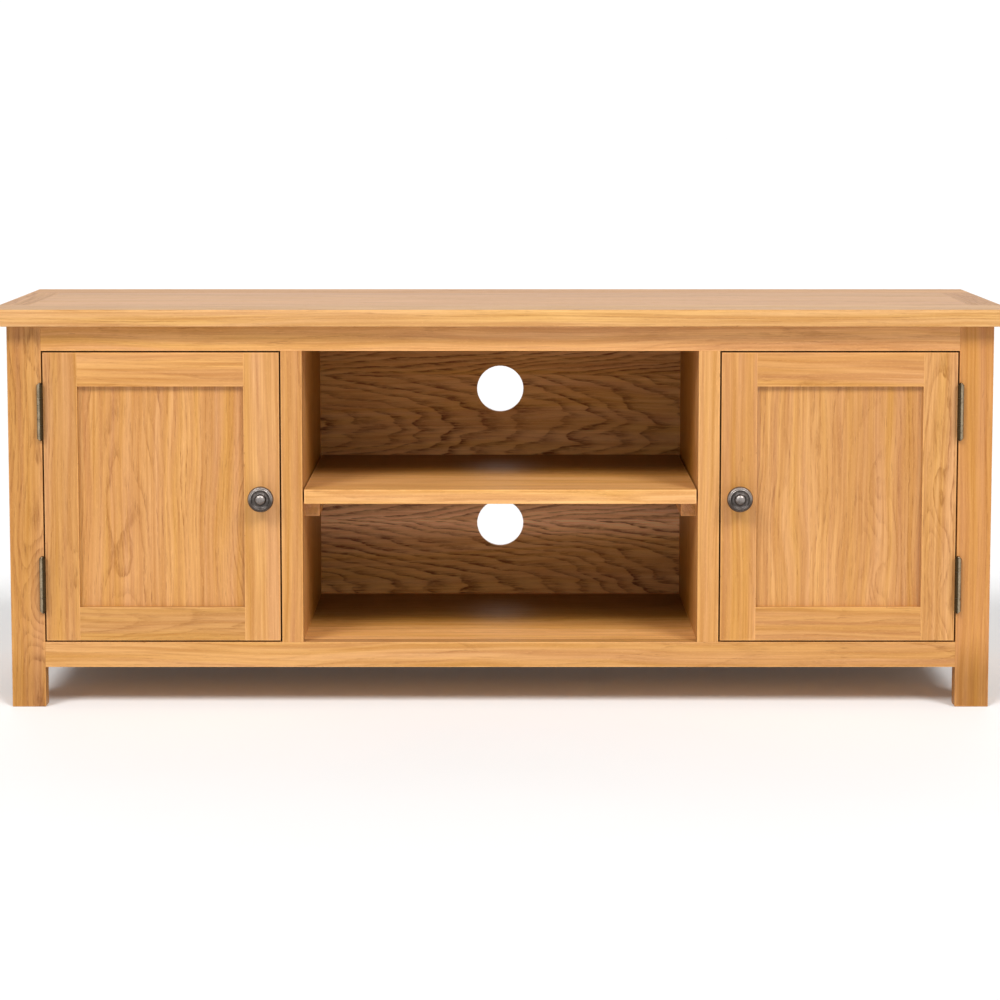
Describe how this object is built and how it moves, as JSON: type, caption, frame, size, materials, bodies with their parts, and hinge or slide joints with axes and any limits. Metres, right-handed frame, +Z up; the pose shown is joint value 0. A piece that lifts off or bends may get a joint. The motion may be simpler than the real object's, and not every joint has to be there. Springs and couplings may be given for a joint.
{
  "type": "media cabinet",
  "caption": "Low wooden media cabinet with framed hinged doors at each side of an open shelved centre bay, cable holes in its back and a framed overhanging top.",
  "frame": {"origin": "centre of the whole outline on the floor, knobs included", "axes": "+Z up, +X to the viewer's right along the width, the doors face -Y"},
  "size_m": [1.2, 0.355, 0.475],
  "materials": {
    "oak_frame": "satin oiled oak",
    "oak_top": "satin oiled oak",
    "oak_panel": "satin oiled oak",
    "oak_back": "satin oak veneer",
    "pewter": "antique pewter, burnished on its edges",
    "aged_bronze": "aged bronze, darkened",
    "dark_screw": "dark plated",
    "zinc_screw": "zinc plated",
    "catch_plastic": "matte",
    "catch_steel": "brushed"
  },
  "bodies": {
    "carcass": {"top_field": "oak_top", "top_front_board": "oak_top", "top_back_board": "oak_top", "top_left_end_board": "oak_top", "top_right_end_board": "oak_top", "front_left_post": "oak_frame", "front_right_post": "oak_frame", "back_left_post": "oak_frame", "back_right_post": "oak_frame", "left_side_front_stile": "oak_frame", "left_side_back_stile": "oak_frame", "left_side_top_rail": "oak_frame", "left_side_bottom_rail": "oak_frame", "left_side_panel": "oak_panel", "right_side_front_stile": "oak_frame", "right_side_back_stile": "oak_frame", "right_side_top_rail": "oak_frame", "right_side_bottom_rail": "oak_frame", "right_side_panel": "oak_panel", "face_top_rail": "oak_frame", "face_bottom_rail": "oak_frame", "left_center_stile": "oak_frame", "right_center_stile": "oak_frame", "left_divider": "oak_frame", "right_divider": "oak_frame", "bottom_board": "oak_frame", "back_top_rail": "oak_frame", "back_bottom_rail": "oak_frame", "back_panel": "oak_back", "center_shelf": "oak_frame", "left_shelf_cleat": "oak_frame", "right_shelf_cleat": "oak_frame", "top_fixing_blocks": "oak_frame", "assembly_screws": "zinc_screw", "catch_housings": "catch_plastic", "catch_magnets": "catch_steel", "hinge_frame_leaves": "aged_bronze", "hinge_pins": "aged_bronze", "carcass_hardware_screws": "dark_screw"},
    "left_door": {"left_door_hinge_stile": "oak_frame", "left_door_lock_stile": "oak_frame", "left_door_top_rail": "oak_frame", "left_door_bottom_rail": "oak_frame", "left_door_panel": "oak_panel", "left_door_knob": "pewter", "left_door_knob_bolt": "zinc_screw", "left_door_hinge_leaves": "aged_bronze", "left_door_strike_plate": "catch_steel", "left_door_screws": "dark_screw"},
    "right_door": {"right_door_hinge_stile": "oak_frame", "right_door_lock_stile": "oak_frame", "right_door_top_rail": "oak_frame", "right_door_bottom_rail": "oak_frame", "right_door_panel": "oak_panel", "right_door_knob": "pewter", "right_door_knob_bolt": "zinc_screw", "right_door_hinge_leaves": "aged_bronze", "right_door_strike_plate": "catch_steel", "right_door_screws": "dark_screw"}
  },
  "joints": [
    {"name": "left_door_hinge", "type": "hinge", "parent": "carcass", "child": "left_door", "pos_m": [-0.541, -0.15675, 0.2515], "axis": [0, 0, -1], "range_deg": [0, 180]},
    {"name": "right_door_hinge", "type": "hinge", "parent": "carcass", "child": "right_door", "pos_m": [0.541, -0.15675, 0.2515], "axis": [0, 0, 1], "range_deg": [0, 180]}
  ]
}
